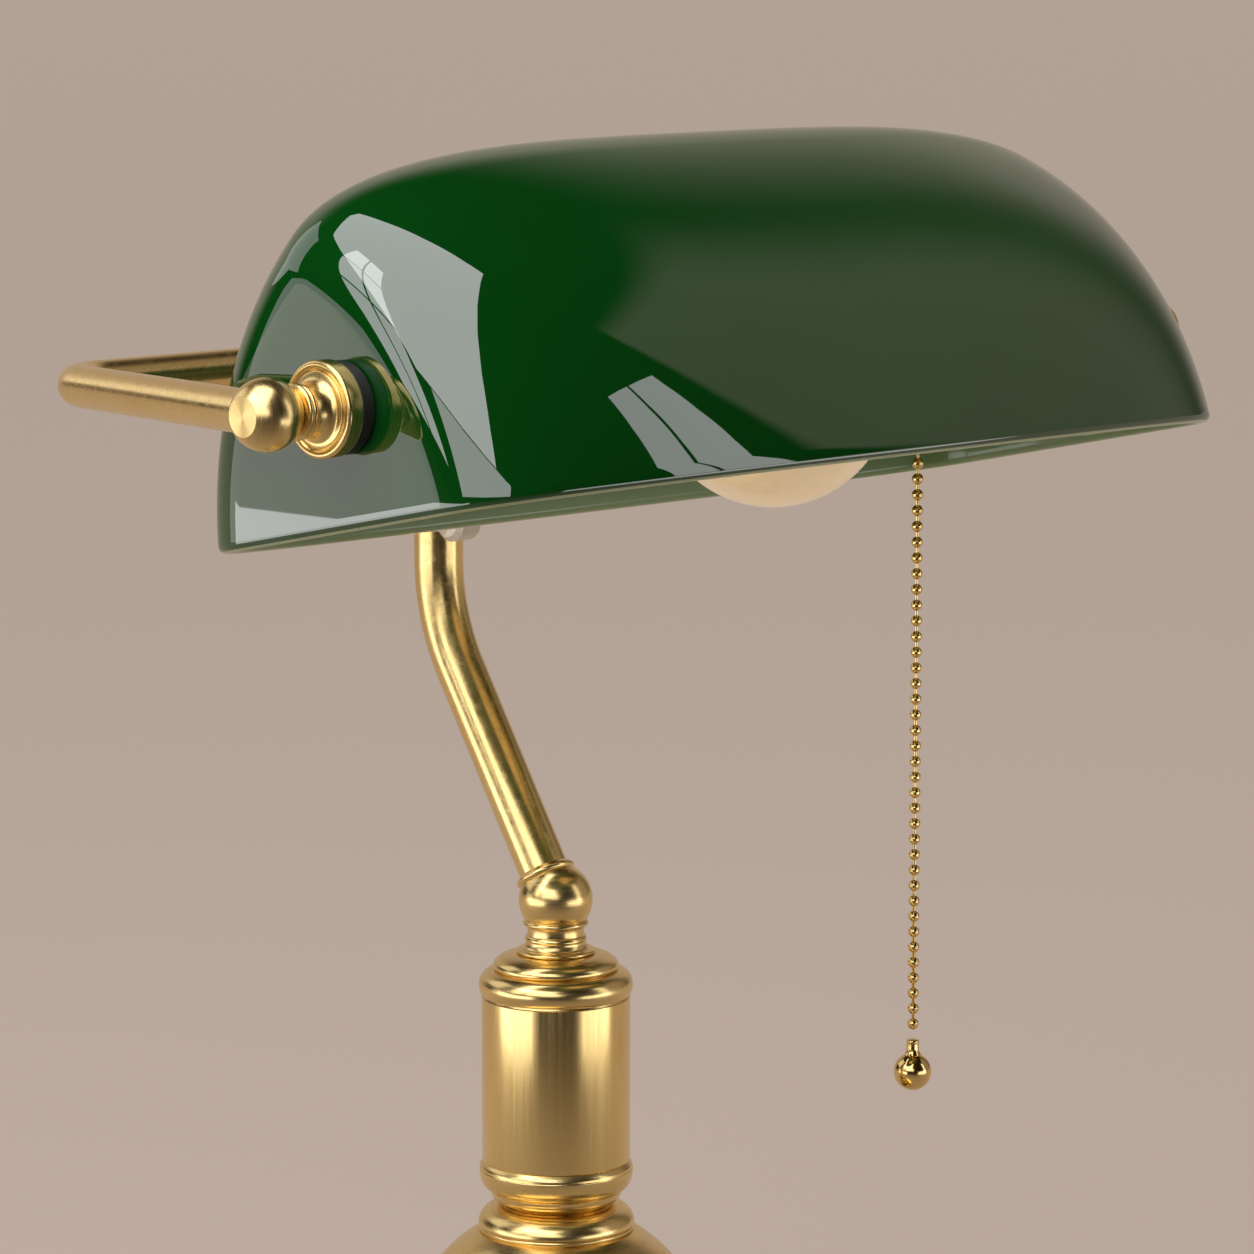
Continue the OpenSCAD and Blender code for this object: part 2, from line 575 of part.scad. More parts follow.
// Round tube swept along a list of points, closed at both ends
module swept(p, r, n) {
  last = (len(p) - 1) * n;
  polyhedron(points = [for (i = [0:len(p) - 1]) each ring(p, i, r, n)],
    faces = concat([[for (k = [0:n - 1]) k]], [[for (k = [n - 1:-1:0]) last + k]],
      [for (i = [0:len(p) - 2], k = [0:n - 1])
        [i * n + k, (i + 1) * n + k, (i + 1) * n + (k + 1) % n, i * n + (k + 1) % n]]));
}

module lamp_wire() color([0.75, 0.62, 0.35]) swept(smooth_route(wire_points, 2), wire_r, 8);

felt_pad();
base_weight();
base_shell();
cord_bushing();
terminal_block();
rod_nut();
rod_washer();
threaded_rod();
base_collar();
column_foot();
column_sleeve();
column_cap();
elbow_neck();
elbow_ball();
arm_collar();
arm_tube();
arm_tee();
tee_screw();
rim_bumper();
yoke_tube();
pivot_ball_left();
pivot_ball_right();
pivot_flange_left();
pivot_flange_right();
outer_washer_left();
outer_washer_right();
inner_washer_left();
inner_washer_right();
clamp_washer_left();
clamp_washer_right();
pivot_nut_left();
pivot_nut_right();
pivot_stud_left();
pivot_stud_right();
glass_bush_left();
glass_bush_right();
glass_shade();
holder_bracket();
bracket_nut();
holder_nipple();
nipple_nut();
holder_cap();
holder_shell();
holder_liner();
holder_body();
screw_shell();
centre_contact();
chain_guide();
switch_rotor();
chain_lead();
chain_top_bead();
chain_second_bead();
pull_chain();
chain_ball();
bulb_glass();
bulb_cap();
bulb_insulator();
bulb_contact();
lamp_wire();
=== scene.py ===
"""Looks of the banker desk lamp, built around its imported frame.

Lengths named _MM and the points of outlines are in millimetres. All other lengths are in metres.
"""
import json
import math

import bmesh
import bpy
import numpy as np
from mathutils import Matrix, Vector


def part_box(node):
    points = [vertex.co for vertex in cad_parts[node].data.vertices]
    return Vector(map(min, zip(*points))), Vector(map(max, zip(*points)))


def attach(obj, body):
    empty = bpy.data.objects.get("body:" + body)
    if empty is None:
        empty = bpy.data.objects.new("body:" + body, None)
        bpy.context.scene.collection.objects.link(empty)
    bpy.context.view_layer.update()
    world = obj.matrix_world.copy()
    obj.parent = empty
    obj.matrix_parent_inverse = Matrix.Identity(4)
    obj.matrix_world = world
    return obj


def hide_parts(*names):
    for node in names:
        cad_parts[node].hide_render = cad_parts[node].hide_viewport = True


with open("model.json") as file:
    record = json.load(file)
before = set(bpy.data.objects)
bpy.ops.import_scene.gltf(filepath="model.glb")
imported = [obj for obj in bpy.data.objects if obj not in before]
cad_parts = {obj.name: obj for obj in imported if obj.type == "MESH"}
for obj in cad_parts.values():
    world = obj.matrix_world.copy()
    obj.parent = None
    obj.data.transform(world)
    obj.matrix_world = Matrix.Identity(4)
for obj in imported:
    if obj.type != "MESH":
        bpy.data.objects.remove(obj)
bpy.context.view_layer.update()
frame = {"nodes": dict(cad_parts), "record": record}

MM = 0.001

# ---------------------------------------------------------------- places, from the frame
flange_low, flange_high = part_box("pivot_flange_right")
bead_low, bead_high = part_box("chain_top_bead")
bulb_low, bulb_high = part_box("bulb_glass")

PIVOT_Y_MM = (flange_low.y + flange_high.y) / 2 / MM
PIVOT_Z_MM = (flange_low.z + flange_high.z) / 2 / MM
GLASS_X_MM = flange_low.x / MM - 4
CHAIN_X_MM = (bead_low.x + bead_high.x) / 2 / MM
CHAIN_Y_MM = (bead_low.y + bead_high.y) / 2 / MM
HOLDER_Z_MM = (bulb_low.z + bulb_high.z) / 2 / MM


# ---------------------------------------------------------------- mesh helpers
def add_mesh(name, points, faces, body, nodes, mats, sharp=32):
    """A smooth-shaded piece that rides on a body and stands for CAD nodes. Points are in millimetres."""
    mesh = bpy.data.meshes.new(name)
    mesh.from_pydata([tuple(c * MM for c in p) for p in points], [], faces)
    shell = bmesh.new()
    shell.from_mesh(mesh)
    bmesh.ops.recalc_face_normals(shell, faces=shell.faces)
    shell.to_mesh(mesh)
    shell.free()
    mesh.shade_smooth()
    mesh.set_sharp_from_angle(angle=math.radians(sharp))
    piece = bpy.data.objects.new(name, mesh)
    bpy.context.scene.collection.objects.link(piece)
    for mat in mats:
        mesh.materials.append(mat)
    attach(piece, body)
    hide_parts(*nodes)
    return piece


def arc(cx, cy, r, a0, a1, n):
    """Points of a circle's arc between two angles in degrees."""
    return oval(cx, cy, r, r, a0, a1, n)


def oval(cx, cy, rx, ry, a0, a1, n):
    """Points of an ellipse's arc between two angles in degrees."""
    steps = [math.radians(a0 + (a1 - a0) * i / n) for i in range(n + 1)]
    return [(cx + rx * math.cos(a), cy + ry * math.sin(a)) for a in steps]


def soften(profile, r=0.25):
    """The closed profile with each corner cut by a short two-step round."""
    out = []
    count = len(profile)
    for i in range(count):
        p0, p, p1 = (np.array(profile[j % count], float) for j in (i - 1, i, i + 1))
        back, on = p0 - p, p1 - p
        lb, lo = np.linalg.norm(back), np.linalg.norm(on)
        if lb < 1e-6:
            continue
        turn = math.degrees(math.acos(max(-1, min(1, -back @ on / (lb * max(lo, 1e-9))))))
        cut = min(r, 0.4 * lb, 0.4 * lo)
        if turn < 25 or cut < 0.02:
            out.append(tuple(p))
            continue
        a, b = p + back / lb * cut, p + on / lo * cut
        for t in (0, 0.33, 0.67, 1):
            out.append(tuple((1 - t) ** 2 * a + 2 * t * (1 - t) * p + t * t * b))
    return out


def lathe(profile, n=128):
    """Points and faces of a closed ring turned about Z from (radius, height) points."""
    points, faces = [], []
    m = len(profile)
    for k in range(n):
        a = 2 * math.pi * k / n
        points += [(r * math.cos(a), r * math.sin(a), z) for r, z in profile]
    for k in range(n):
        for i in range(m):
            j = (i + 1) % m
            k1 = (k + 1) % n
            faces.append((k * m + i, k1 * m + i, k1 * m + j, k * m + j))
    return points, faces


def turned(name, profile, node, mat, n=128):
    """A brass piece of the stand, turned about the column's axis, with its corners softened."""
    points, faces = lathe(soften(profile), n)
    add_mesh(name, points, faces, "stand", [node], [mat])


def sweep(route, r, bore, n):
    """Hollow tube along a route of points."""
    route = [np.array(p, float) for p in route]
    rings = []
    way = route[1] - route[0]
    way /= np.linalg.norm(way)
    side = np.cross(way, [0.3, 0.1, 0.9])
    side /= np.linalg.norm(side)
    for i, p in enumerate(route):
        ahead = route[min(i + 1, len(route) - 1)] - route[max(i - 1, 0)]
        ahead /= np.linalg.norm(ahead)
        side = side - ahead * (side @ ahead)
        side /= np.linalg.norm(side)
        up = np.cross(ahead, side)
        rings.append((p, side.copy(), up))
    points, faces = [], []
    for radius, run in ((r, rings), (bore, rings[::-1])):
        for p, s, u in run:
            for k in range(n):
                a = 2 * math.pi * k / n
                points.append(tuple(p + radius * (s * math.cos(a) + u * math.sin(a))))
    m = 2 * len(route)
    for i in range(m):
        j = (i + 1) % m
        for k in range(n):
            k1 = (k + 1) % n
            faces.append((i * n + k, i * n + k1, j * n + k1, j * n + k))
    return points, faces


# ---------------------------------------------------------------- materials
# Places of the colour sockets on a Mix node
MIX_FACTOR, MIX_A, MIX_B, MIX_COLOUR = 0, 6, 7, 2


def new_material(name, base, rough, metallic=0.0):
    """A material with its node tree and its shader."""
    mat = bpy.data.materials.new(name)
    mat.use_nodes = True
    tree = mat.node_tree
    shader = tree.nodes["Principled BSDF"]
    shader.inputs["Base Color"].default_value = (*base, 1)
    shader.inputs["Roughness"].default_value = rough
    shader.inputs["Metallic"].default_value = metallic
    return mat, tree, shader


def noise(tree, scale, stretch=(1, 1, 1), detail=3.0, rough=0.55):
    """Noise in the object's own coordinates, stretched along its axes."""
    where = tree.nodes.new("ShaderNodeTexCoord")
    mapping = tree.nodes.new("ShaderNodeMapping")
    mapping.inputs["Scale"].default_value = stretch
    tex = tree.nodes.new("ShaderNodeTexNoise")
    tex.inputs["Scale"].default_value = scale
    tex.inputs["Detail"].default_value = detail
    tex.inputs["Roughness"].default_value = rough
    tree.links.new(where.outputs["Object"], mapping.inputs["Vector"])
    tree.links.new(mapping.outputs["Vector"], tex.inputs["Vector"])
    return tex.outputs["Fac"]


def spread(tree, value, low, high, start=0.3, end=0.7):
    """The value taken from start..end to low..high."""
    node = tree.nodes.new("ShaderNodeMapRange")
    node.inputs["From Min"].default_value = start
    node.inputs["From Max"].default_value = end
    node.inputs["To Min"].default_value = low
    node.inputs["To Max"].default_value = high
    tree.links.new(value, node.inputs["Value"])
    return node.outputs["Result"]


def tint(tree, value, a, b):
    """Colour a where the value is 0 and colour b where it is 1."""
    node = tree.nodes.new("ShaderNodeMix")
    node.data_type = "RGBA"
    node.inputs[MIX_A].default_value = (*a, 1)
    node.inputs[MIX_B].default_value = (*b, 1)
    tree.links.new(value, node.inputs[MIX_FACTOR])
    return node.outputs[MIX_COLOUR]


def bump(tree, shader, height, strength, distance):
    """Raises the surface by the height, up to distance in metres."""
    node = tree.nodes.new("ShaderNodeBump")
    node.inputs["Strength"].default_value = strength
    node.inputs["Distance"].default_value = distance
    tree.links.new(height, node.inputs["Height"])
    tree.links.new(node.outputs["Normal"], shader.inputs["Normal"])


def brass(name, grain, rough, base=(0.86, 0.64, 0.27), deep=(0.78, 0.54, 0.19), grain_scale=90,
          aniso=0.0, axis="Z"):
    """Lacquered satin brass: fine brushing along one direction, cloudy tone and slightly worn polish."""
    mat, tree, shader = new_material(name, base, rough, 1.0)
    cloud = noise(tree, 38, detail=4)
    tone = tint(tree, spread(tree, cloud, 0.0, 0.35), base, deep)
    tree.links.new(tone, shader.inputs["Base Color"])
    lines = noise(tree, grain_scale, grain, detail=5, rough=0.7)
    tree.links.new(spread(tree, lines, rough - 0.05, rough + 0.08), shader.inputs["Roughness"])
    bump(tree, shader, lines, 0.35, 0.02 * MM)
    if aniso:
        shader.inputs["Anisotropic"].default_value = aniso
        tangent = tree.nodes.new("ShaderNodeTangent")
        tangent.direction_type = "RADIAL"
        tangent.axis = axis
        tree.links.new(tangent.outputs["Tangent"], shader.inputs["Tangent"])
    return mat


def dull(name, base, other, rough, scale=120, depth=0.0001, metallic=0.0):
    """A plain moulded, cast or pressed surface with small variation in tone, polish and height."""
    mat, tree, shader = new_material(name, base, rough, metallic)
    grain = noise(tree, scale, detail=6, rough=0.65)
    tree.links.new(tint(tree, spread(tree, grain, 0, 1), base, other), shader.inputs["Base Color"])
    tree.links.new(spread(tree, grain, max(rough - 0.08, 0.02), rough + 0.08), shader.inputs["Roughness"])
    bump(tree, shader, grain, 0.4, depth)
    return mat


def green_glass():
    """Cased green glass: deep colour under a hard clear gloss, with faint waviness and dust-dull patches."""
    mat, tree, shader = new_material("green_glass", (0.0008, 0.050, 0.004), 0.35)
    cloud = noise(tree, 14, detail=3)
    tree.links.new(tint(tree, spread(tree, cloud, 0, 1), (0.0006, 0.046, 0.0035), (0.001, 0.054, 0.005)),
                 shader.inputs["Base Color"])
    shader.inputs["IOR"].default_value = 1.52
    shader.inputs["Specular IOR Level"].default_value = 0.0
    shader.inputs["Coat Weight"].default_value = 1.0
    shader.inputs["Coat Roughness"].default_value = 0.015
    shader.inputs["Coat IOR"].default_value = 2.0
    tree.links.new(spread(tree, noise(tree, 60, detail=4), 0.3, 0.42), shader.inputs["Roughness"])
    bump(tree, shader, noise(tree, 9, detail=1), 0.05, 0.0006)
    return mat


def opal(name, base, rough, light=0.0):
    """Milky glass with a thin gloss, which may carry a little painted glow: an emission that brightens it,
    not light of its own.
    """
    mat, tree, shader = new_material(name, base, rough)
    other = tuple(c * 0.93 for c in base)
    cloud = noise(tree, 30, detail=3)
    tree.links.new(tint(tree, spread(tree, cloud, 0, 1), base, other), shader.inputs["Base Color"])
    tree.links.new(spread(tree, cloud, rough - 0.05, rough + 0.05), shader.inputs["Roughness"])
    shader.inputs["Subsurface Weight"].default_value = 0.25
    shader.inputs["Subsurface Radius"].default_value = (0.004, 0.003, 0.002)
    shader.inputs["Coat Weight"].default_value = 0.6
    shader.inputs["Coat Roughness"].default_value = 0.06
    bump(tree, shader, cloud, 0.04, 0.0003)
    # Painted glow: a faint warm emission that brightens the milky glass
    if light:
        shader.inputs["Emission Color"].default_value = (1, 0.69, 0.36, 1)
        shader.inputs["Emission Strength"].default_value = light
    return mat


M_SLEEVE = brass("brass_drawn", grain=(9, 9, 0.12), rough=0.22, grain_scale=70)
M_TURNED = brass("brass_turned", grain=(0.3, 0.3, 12), rough=0.23, grain_scale=110, aniso=0.35)
M_PIVOT = brass("brass_pivot", grain=(14, 0.4, 0.4), rough=0.25, grain_scale=110, aniso=0.35, axis="X")
M_TUBE = brass("brass_tube", grain=(2, 2, 2), rough=0.23, grain_scale=160)
M_HOLDER = brass("brass_holder", grain=(12, 0.5, 0.5), rough=0.26, base=(0.78, 0.56, 0.25))
M_RAW = brass("brass_raw", grain=(1, 1, 25), rough=0.33, base=(0.5, 0.33, 0.12), deep=(0.3, 0.18, 0.06))
M_CHAIN = brass("brass_chain", grain=(1, 1, 1), rough=0.13, base=(0.83, 0.60, 0.25), grain_scale=200)
M_FACET = brass("brass_facet", grain=(1, 1, 1), rough=0.24, grain_scale=60, aniso=0.85, axis="X")
M_GLASS = green_glass()
# The shade's inside is white opal; its dim olive colour here is painted shade for the hollow under the glass
M_SHADED_OPAL = opal("opal_inside_painted_shade", (0.20, 0.32, 0.12), 0.3)
M_RIM = opal("ground_rim", (0.38, 0.45, 0.22), 0.45)
# The bulb's faint warm emission is painted glow that brightens its frosted coat; the bulb is no light here
M_BULB = opal("bulb_coat_painted_glow", (0.95, 0.80, 0.55), 0.22, light=0.27)
M_IVORY = dull("ivory_silicone", (0.82, 0.74, 0.58), (0.74, 0.66, 0.50), 0.45)
M_IVORY_HARD = dull("ivory_plastic", (0.78, 0.70, 0.52), (0.70, 0.62, 0.45), 0.35)
M_RUBBER = dull("black_rubber", (0.012, 0.012, 0.012), (0.022, 0.021, 0.02), 0.5)
M_BLACK = dull("black_phenolic", (0.01, 0.01, 0.01), (0.018, 0.016, 0.014), 0.25)
M_NYLON = dull("white_nylon", (0.72, 0.72, 0.68), (0.64, 0.64, 0.60), 0.4)
M_FELT = dull("green_felt", (0.015, 0.06, 0.025), (0.03, 0.10, 0.04), 0.95, 900, 0.0006)
M_IRON = dull("cast_iron", (0.05, 0.05, 0.052), (0.09, 0.085, 0.08), 0.6, 300, 0.0005, 0.8)
M_STEEL = dull("zinc_steel", (0.55, 0.55, 0.56), (0.46, 0.46, 0.48), 0.32, 160, 0.00005, 1.0)
M_CAP = dull("bulb_cap", (0.62, 0.60, 0.57), (0.5, 0.48, 0.45), 0.28, 160, 0.00005, 1.0)
M_WIRE = dull("gold_lead", (0.50, 0.36, 0.12), (0.42, 0.29, 0.09), 0.25, 200, 0.0001)

SLOT_LOOKS = {
    "brass": M_TURNED, "holder_brass": M_HOLDER, "threaded_brass": M_RAW, "chain": M_CHAIN, "felt": M_FELT,
    "iron": M_IRON, "steel": M_STEEL, "black_rubber": M_RUBBER, "white_nylon": M_NYLON,
    "green_glass": M_GLASS, "ivory_rubber": M_IVORY, "ivory_plastic": M_IVORY_HARD,
    "black_plastic": M_BLACK, "bulb_white": M_BULB, "cap_metal": M_CAP, "wire": M_WIRE,
}
for part in frame["record"]["subparts"]:
    mesh = frame["nodes"][part["node"]].data
    mesh.materials.clear()
    mesh.materials.append(SLOT_LOOKS[part["material_slot"]])

# ---------------------------------------------------------------- column and base
PIPE_MM = 5.05
BASE_TOP_MM = 75
COLLAR_TOP_MM = 82.2
FOOT_SHOULDER_MM = 94.6
SLEEVE_TOP_MM = 139.8
CAP_TOP_MM = 151.7
SLEEVE_BORE_MM = 18.5
FIT_MM = 0.05
BASE_WALL_MM = 1.6


def base_outline(t):
    """The base's side from the floor up to the collar, moved inward by t."""
    top = math.degrees(math.asin((BASE_TOP_MM - t - 38.7) / (42.2 - t)))
    return ([(90 - t, 2)] + arc(87, 12, 3 - t, 0, 90, 10) + oval(76, 33, 30 + t, 18 + t, 270, 180, 28)
            + arc(43, 35.4, 3.4 - t, -45, 80, 16) + arc(0, 38.7, 42.2 - t, 2, top, 30))


turned("spun_base",
       [(PIPE_MM, BASE_TOP_MM - BASE_WALL_MM)] + base_outline(BASE_WALL_MM)[::-1] + base_outline(0)
       + [(PIPE_MM, BASE_TOP_MM)],
       "base_shell", M_TURNED, 192)
turned("turned_collar",
       [(PIPE_MM, BASE_TOP_MM), (20.7, BASE_TOP_MM)] + arc(20.3, 75.8, 0.8, -60, 60, 8) + [(20.4, 76.5)]
       + oval(15, 76.8, 6.3, 5.4, 0, 90, 20) + [(PIPE_MM, COLLAR_TOP_MM)],
       "base_collar", M_TURNED)
turned("turned_foot",
       [(PIPE_MM, COLLAR_TOP_MM), (14.2, COLLAR_TOP_MM), (14.6, 82.9)] + arc(14.6, 86.2, 3.3, -90, 0, 12)
       + [(18.3, 86.5)] + oval(18.3, 92.2, 2.6, 5.5, -85, 0, 20) + oval(19.4, 92.4, 1.4, 1.9, 0, 50, 8)
       + [(19.8, FOOT_SHOULDER_MM), (SLEEVE_BORE_MM, FOOT_SHOULDER_MM), (SLEEVE_BORE_MM, 99), (PIPE_MM, 99)],
       "column_foot", M_TURNED)
turned("drawn_sleeve",
       [(SLEEVE_BORE_MM + 0.1, FOOT_SHOULDER_MM + FIT_MM), (20.1, FOOT_SHOULDER_MM + FIT_MM),
        (20.1, SLEEVE_TOP_MM - FIT_MM), (SLEEVE_BORE_MM + 0.1, SLEEVE_TOP_MM - FIT_MM)],
       "column_sleeve", M_SLEEVE, 192)
turned("turned_cap",
       [(PIPE_MM, 135), (SLEEVE_BORE_MM, 135), (SLEEVE_BORE_MM, SLEEVE_TOP_MM + FIT_MM),
        (20.3, SLEEVE_TOP_MM + FIT_MM)] + oval(18.4, 143, 2.5, 3.4, -50, 0, 10)
       + oval(17.2, 143, 3.7, 4.2, 0, 88, 22) + [(16.3, 147.3)] + arc(16.2, 148.1, 0.8, -50, 0, 6)
       + oval(10.6, 148.2, 6.4, 3.5, 0, 90, 22) + [(PIPE_MM, CAP_TOP_MM)],
       "column_cap", M_TURNED)
turned("turned_neck",
       [(PIPE_MM, CAP_TOP_MM)] + arc(10.1, 152.3, 0.6, -90, 90, 10) + [(9.3, 153)]
       + oval(9.3, 155.2, 1.1, 2.1, 270, 180, 12) + oval(7.6, 155.6, 0.8, 1.2, 0, 80, 10) + [(7.6, 159)]
       + arc(8, 160, 0.9, -70, 70, 12) + [(8.4, 161.4), (PIPE_MM, 161.4)],
       "elbow_neck", M_TURNED)

# ---------------------------------------------------------------- elbow ball, collar and arm
ELBOW_MM = np.array([0, 0, 166.4])
ARM_CORNER_Z_MM = 238.8
ARM_BEND_MM = 55
ARM_R_MM, ARM_WALL_MM = 6.75, 1.2
ARM_Y_MM = 46
LEAN = math.atan2(ARM_Y_MM, ARM_CORNER_Z_MM - ELBOW_MM[2])
BAR_DROP_MM = 3.3
BAR_Z_MM = PIVOT_Z_MM - BAR_DROP_MM


def along_arm(points):
    """Points made about Z, leaned so that Z runs up the arm from the elbow ball."""
    c, s = math.cos(LEAN), math.sin(LEAN)
    return [(x, y * c + z * s, ELBOW_MM[2] - y * s + z * c) for x, y, z in points]


# The ball is turned about the arm's own axis, so that its collar seats squarely
ball_points, ball_faces = lathe(
    [(0.01, -9.99)] + arc(0, 0, 10, -89.5, math.degrees(math.asin(0.6)), 60)
    + [(6.8, 6), (6.8, 1), (0.01, 1)])
add_mesh("elbow_round", along_arm(ball_points), ball_faces, "stand", ["elbow_ball"], [M_TURNED])
ring_points, ring_faces = lathe(soften(
    [(6.8, 6.02), (7.7, 6.02)] + arc(7.35, 7.2, 0.95, -40, 60, 12) + [(7.3, 8.6), (6.8, 8.8)], 0.15))
add_mesh("elbow_ring", along_arm(ring_points), ring_faces, "stand", ["arm_collar"], [M_TURNED])


def bend(centre, start, end, r, steps=40):
    """Points of an arc in space, round centre, from the direction start to the direction end."""
    a = np.array(start, float)
    b = np.array(end, float)
    turn = math.acos(np.clip(a @ b, -1, 1))
    side = (b - a * math.cos(turn)) / math.sin(turn)
    angles = [turn * i / steps for i in range(steps + 1)]
    return [np.array(centre) + r * (a * math.cos(t) + side * math.sin(t)) for t in angles]


arm_way = np.array([0, math.sin(LEAN), math.cos(LEAN)])
reach = ARM_BEND_MM * math.tan(LEAN / 2)
arm_turn = bend([0, ARM_Y_MM - ARM_BEND_MM, ARM_CORNER_Z_MM + reach], [0, math.cos(LEAN), -math.sin(LEAN)],
                [0, 1, 0], ARM_BEND_MM)
arm_route = [ELBOW_MM + arm_way * 3] + arm_turn + [np.array([0, ARM_Y_MM, BAR_Z_MM - 8])]
tube_points, tube_faces = sweep(arm_route, ARM_R_MM, ARM_R_MM - ARM_WALL_MM, 72)
add_mesh("bent_arm", tube_points, tube_faces, "stand", ["arm_tube"], [M_TUBE], 50)

# ---------------------------------------------------------------- yoke
YOKE_CORNER_MM = 128.3
YOKE_BEND_MM = 16
YOKE_R_MM, YOKE_WALL_MM = 5.4, 1
YOKE_SEAT_MM = 6.65
BALL_X_MM = GLASS_X_MM + 24.35
yoke_depth = math.hypot(ARM_Y_MM - PIVOT_Y_MM, BAR_DROP_MM)
yoke_lean = -math.atan2(BAR_DROP_MM, ARM_Y_MM - PIVOT_Y_MM)


def yoke_plane(points):
    """Points of the yoke's own plane, leaned from the pivots down to the back bar."""
    c, s = math.cos(yoke_lean), math.sin(yoke_lean)
    return [np.array([x, PIVOT_Y_MM + y * c - z * s, PIVOT_Z_MM + y * s + z * c]) for x, y, z in points]


def yoke_side(side):
    """One arm's end and its bend, from the ball towards the back bar."""
    corner = np.array([side * YOKE_CORNER_MM, yoke_depth, 0])
    ball = np.array([side * BALL_X_MM, 0, 0])
    way = (corner - ball) / np.linalg.norm(corner - ball)
    inward = np.array([-side, 0, 0])
    turn = math.acos(way @ inward)
    cut = YOKE_BEND_MM * math.tan(turn / 2)
    start = corner - way * cut
    out = np.cross(np.array([0, 0, side]), way) * -1
    centre = start - out * YOKE_BEND_MM
    return [ball + way * YOKE_SEAT_MM] + bend(centre, out, [0, 1, 0], YOKE_BEND_MM, 28)


yoke_route = yoke_plane(yoke_side(-1) + yoke_side(1)[::-1])
yoke_points, yoke_faces = sweep(yoke_route, YOKE_R_MM, YOKE_R_MM - YOKE_WALL_MM, 64)
add_mesh("bent_yoke", yoke_points, yoke_faces, "stand", ["yoke_tube"], [M_TUBE], 50)

# ---------------------------------------------------------------- pivots
BALL_MM = 8.85
FACET_MM = 7.4
BALL_SEAT_MM = 6.5
BALL_BORE_END_MM = -1
FACET = math.degrees(math.asin(FACET_MM / BALL_MM))
SEAT = math.degrees(math.asin(BALL_SEAT_MM / BALL_MM))


def on_pivot(points, side, start):
    """Points made about Z, laid on the pivot axis so that Z runs outward from start."""
    return [(side * (start + z), PIVOT_Y_MM + y, PIVOT_Z_MM + x) for x, y, z in points]


def yoke_ball(side, hand):
    """Ball at the end of the yoke, with a flat brushed facet outside and a bore for the stud."""
    points, faces = lathe(
        [(PIPE_MM, -BALL_SEAT_MM)] + arc(0, 0, BALL_MM, -SEAT, FACET, 48)
        + [(0.01, FACET_MM), (0.01, BALL_BORE_END_MM), (PIPE_MM, BALL_BORE_END_MM)])
    ball = add_mesh("yoke_ball_" + hand, on_pivot(points, side, BALL_X_MM), faces, "stand",
                    ["pivot_ball_" + hand], [M_PIVOT, M_FACET], 20)
    for poly in ball.data.polygons:
        if abs(poly.normal.x) > 0.999 and abs(poly.center.x) > (BALL_X_MM + FACET_MM - 1) * MM:
            poly.material_index = 1


def pivot_neck(side, hand):
    """Turned neck that widens to a flange against the washer."""
    points, faces = lathe(soften(
        [(PIPE_MM, 4), (11.15, 4)] + arc(10.85, 4.9, 0.9, -30, 0, 6) + arc(10.75, 8, 1, 0, 150, 16)
        + [(9.4, 8.2), (9.1, 8.9), (8.3, 9.1)] + oval(8.3, 13.5, 2.4, 4.4, 270, 180, 16)
        + arc(5.9, 14.3, 0.7, -60, 60, 10) + arc(6.1, 15.9, 0.8, -70, 70, 12)
        + [(6, 16.75), (5.4, 17.1), (PIPE_MM, 17.1)], 0.12))
    add_mesh("turned_flange_" + hand, on_pivot(points, side, GLASS_X_MM), faces, "stand",
             ["pivot_flange_" + hand], [M_PIVOT], 25)


def outer_washer(side, hand):
    """Black washer between the flange and the glass."""
    points, faces = lathe(soften([(PIPE_MM, 0.3), (11.25, 0.3), (11.25, 4), (PIPE_MM, 4)], 0.6))
    add_mesh("soft_washer_" + hand, on_pivot(points, side, GLASS_X_MM), faces, "stand",
             ["outer_washer_" + hand], [M_RUBBER])


for side, hand in ((-1, "left"), (1, "right")):
    yoke_ball(side, hand)
    pivot_neck(side, hand)
    outer_washer(side, hand)

# ---------------------------------------------------------------- glass shade
SHADE_L_MM = 272.9
CROWN_MM, SIDE_MM, CROWN_HALF = 34.2, 114.0, math.radians(33.5)
RIM_MM = 57.4
GLASS_MM = 4.0
CORE_MM = SIDE_MM - CROWN_MM
END_POWER, CREST_POWER = 3.6, 2.6
SET_BACK_MM = 9.6
RIM_DROP_MM = 29.2
REST_TILT = math.radians(11.8)


def arch(crown, depth, side_steps=44, crown_steps=40):
    """Section of the shade with that crown radius, from the back rim over the crown to the front rim."""
    cy, cz = CORE_MM * math.sin(CROWN_HALF), -CORE_MM * math.cos(CROWN_HALF)
    long = CORE_MM + crown
    rim = math.acos((-depth - cz) / long)
    back = [rim + (CROWN_HALF - rim) * i / side_steps for i in range(side_steps)]
    half = [(long * math.sin(a) - cy, cz + long * math.cos(a)) for a in back]
    top = [CROWN_HALF * (1 - 2 * i / crown_steps) for i in range(crown_steps + 1)]
    return half + [(crown * math.sin(a), crown * math.cos(a)) for a in top] + [(-y, z) for y, z in half[::-1]]


def skin(crown, length, depth):
    """Sections along the shade. Its ends are superellipse quarters, so radius and place share an angle."""
    from_end = [0.5, 1.5, 3, 5, 8, 11, 14.5, 18] + list(range(22, 87, 4))
    angles = [90 - a for a in from_end]
    middle = [-2, -0.5, -0.05, 0, 0.05, 0.5, 2]
    rows = []
    for a in [-a for a in angles] + middle + angles[::-1]:
        t = math.radians(abs(a))
        x = math.copysign(length / 2 * math.sin(t) ** (2 / END_POWER), a)
        rows.append([(x, y, z) for y, z in arch(crown * math.cos(t) ** (2 / CREST_POWER), depth)])
    return rows


